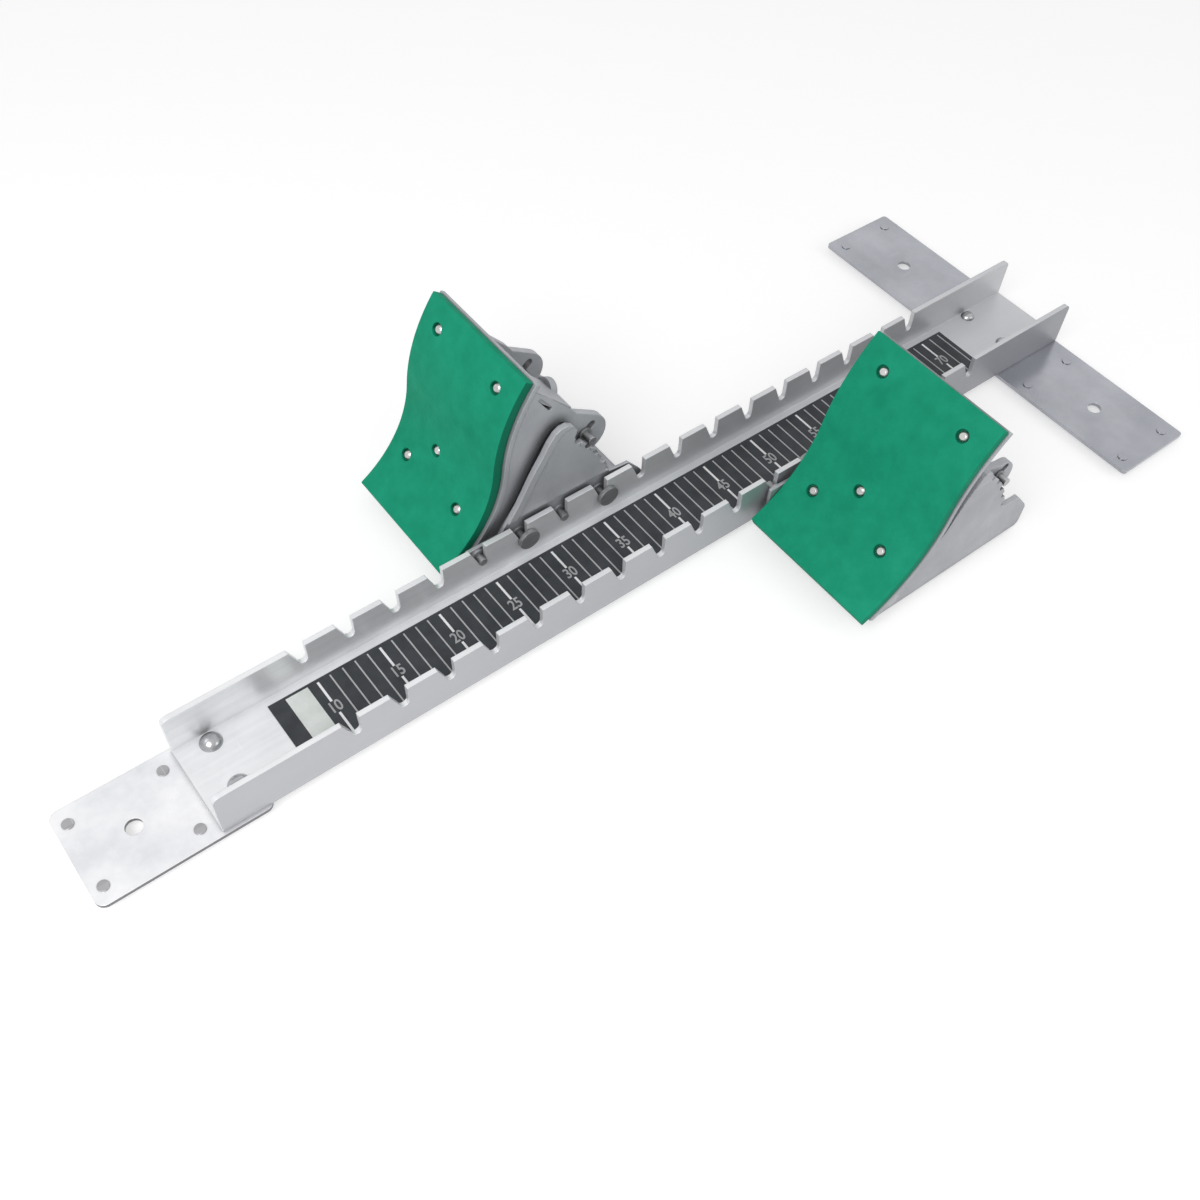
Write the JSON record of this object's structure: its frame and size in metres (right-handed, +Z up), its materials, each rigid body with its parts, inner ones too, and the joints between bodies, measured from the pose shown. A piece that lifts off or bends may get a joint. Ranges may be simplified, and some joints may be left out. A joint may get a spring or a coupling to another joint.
{
  "type": "starting blocks",
  "caption": "Starting blocks for track sprinting: notched metal rail on spiked ground plates, with two tilting green rubber pedals",
  "frame": {"origin": "middle of the bounding box, on the plane through the spikes' tips", "axes": "+X the way the runner leaves, +Y the runner's left, +Z up"},
  "size_m": [0.9, 0.353, 0.1692],
  "materials": {
    "rail_alloy": "satin",
    "front_plate_alloy": "satin",
    "rear_plate_alloy": "satin",
    "casting": "cast",
    "strip": "printed",
    "pad_rubber": "matte",
    "steel": "bright",
    "screw_steel": "bright",
    "dark_steel": "dull"
  },
  "bodies": {
    "frame": {"rail": "rail_alloy", "scale_strip": "strip", "front_plate": "front_plate_alloy", "rear_plate": "rear_plate_alloy", "front_spikes": "steel", "rear_spikes": "steel", "front_rivets": "rail_alloy", "rear_rivets": "rail_alloy"},
    "right_stand": {"right_base": "casting", "right_studs": "dark_steel", "right_hinge_pin": "steel", "right_hinge_ring": "dark_steel"},
    "right_foot": {"right_foot_plate": "casting", "right_pad": "pad_rubber", "right_pad_screws": "screw_steel"},
    "right_bar": {"right_lock_bar": "steel", "right_bar_rings": "dark_steel"},
    "left_stand": {"left_base": "casting", "left_studs": "dark_steel", "left_hinge_pin": "steel", "left_hinge_ring": "dark_steel"},
    "left_foot": {"left_foot_plate": "casting", "left_pad": "pad_rubber", "left_pad_screws": "screw_steel"},
    "left_bar": {"left_lock_bar": "steel", "left_bar_rings": "dark_steel"}
  },
  "joints": [
    {"name": "right_pedal_lift", "type": "slide", "parent": "frame", "child": "right_stand", "axis": [0.2079, 0, 0.9781], "range_m": [0, 0.032]},
    {"name": "right_tilt", "type": "hinge", "parent": "right_stand", "child": "right_foot", "pos_m": [0.1051, 0, 0.019], "axis": [0, 1, 0], "range_deg": [-14, 7]},
    {"name": "right_lock_lift", "type": "slide", "parent": "right_foot", "child": "right_bar", "axis": [-0.7771, 0, 0.6293], "range_m": [-0.0036, 0.008]},
    {"name": "left_pedal_lift", "type": "slide", "parent": "frame", "child": "left_stand", "axis": [0.2079, 0, 0.9781], "range_m": [0, 0.032]},
    {"name": "left_tilt", "type": "hinge", "parent": "left_stand", "child": "left_foot", "pos_m": [-0.1157, 0, 0.019], "axis": [0, 1, 0], "range_deg": [-7, 14]},
    {"name": "left_lock_lift", "type": "slide", "parent": "left_foot", "child": "left_bar", "axis": [-0.848, 0, 0.5299], "range_m": [-0.0036, 0.008]}
  ]
}
